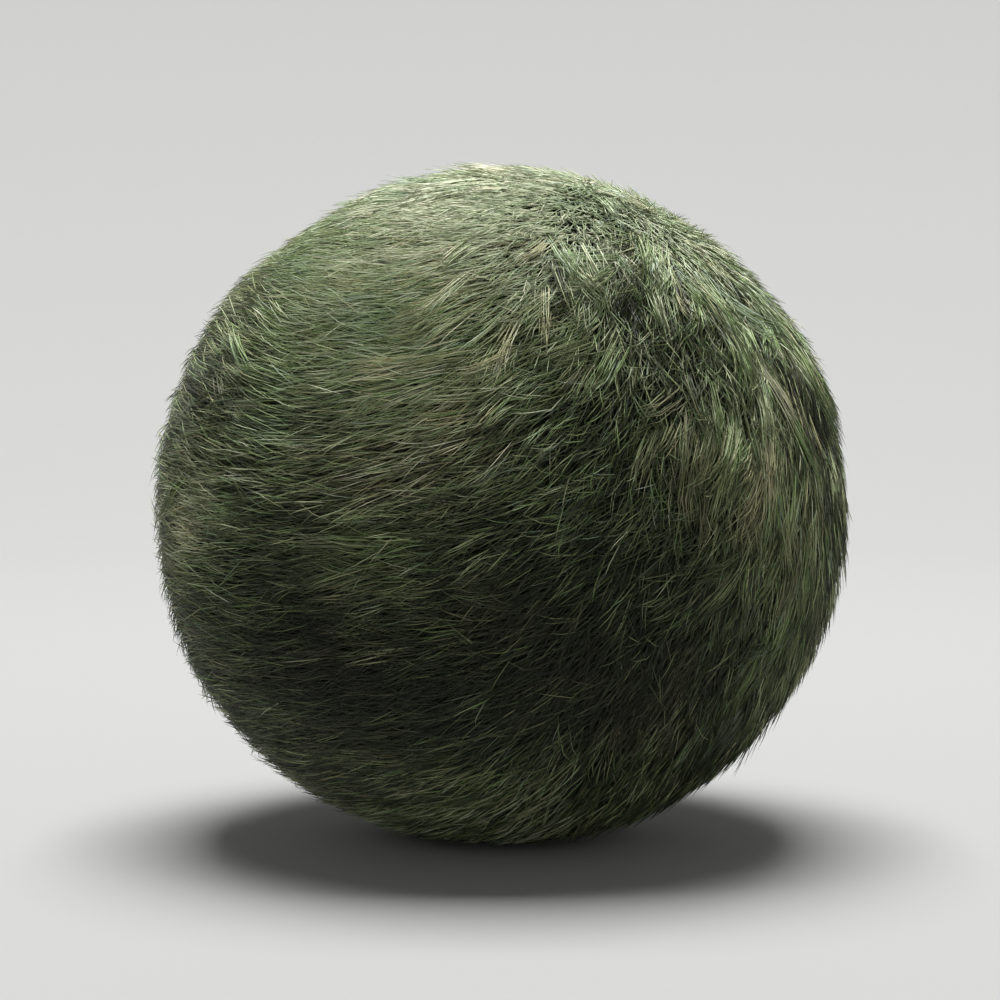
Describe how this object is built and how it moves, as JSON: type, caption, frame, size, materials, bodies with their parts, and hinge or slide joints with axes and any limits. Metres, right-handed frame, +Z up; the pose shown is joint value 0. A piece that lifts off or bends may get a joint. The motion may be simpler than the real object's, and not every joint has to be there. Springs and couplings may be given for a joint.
{
  "type": "moss ball",
  "caption": "Round, slightly flattened ball of packed dark green filaments, combed into overlapping locks, that rests on a small flat spot.",
  "frame": {"origin": "middle of the small flat spot underneath, which is the middle of the bounding box's bottom", "axes": "+Z up, -Y towards the viewer of the picture, +X to that viewer's right"},
  "size_m": [0.0466, 0.0458, 0.0443],
  "materials": {
    "moss": "matt, dark olive filaments with paler khaki tips"
  },
  "bodies": {
    "root": {"moss_ball": "moss"}
  },
  "joints": []
}
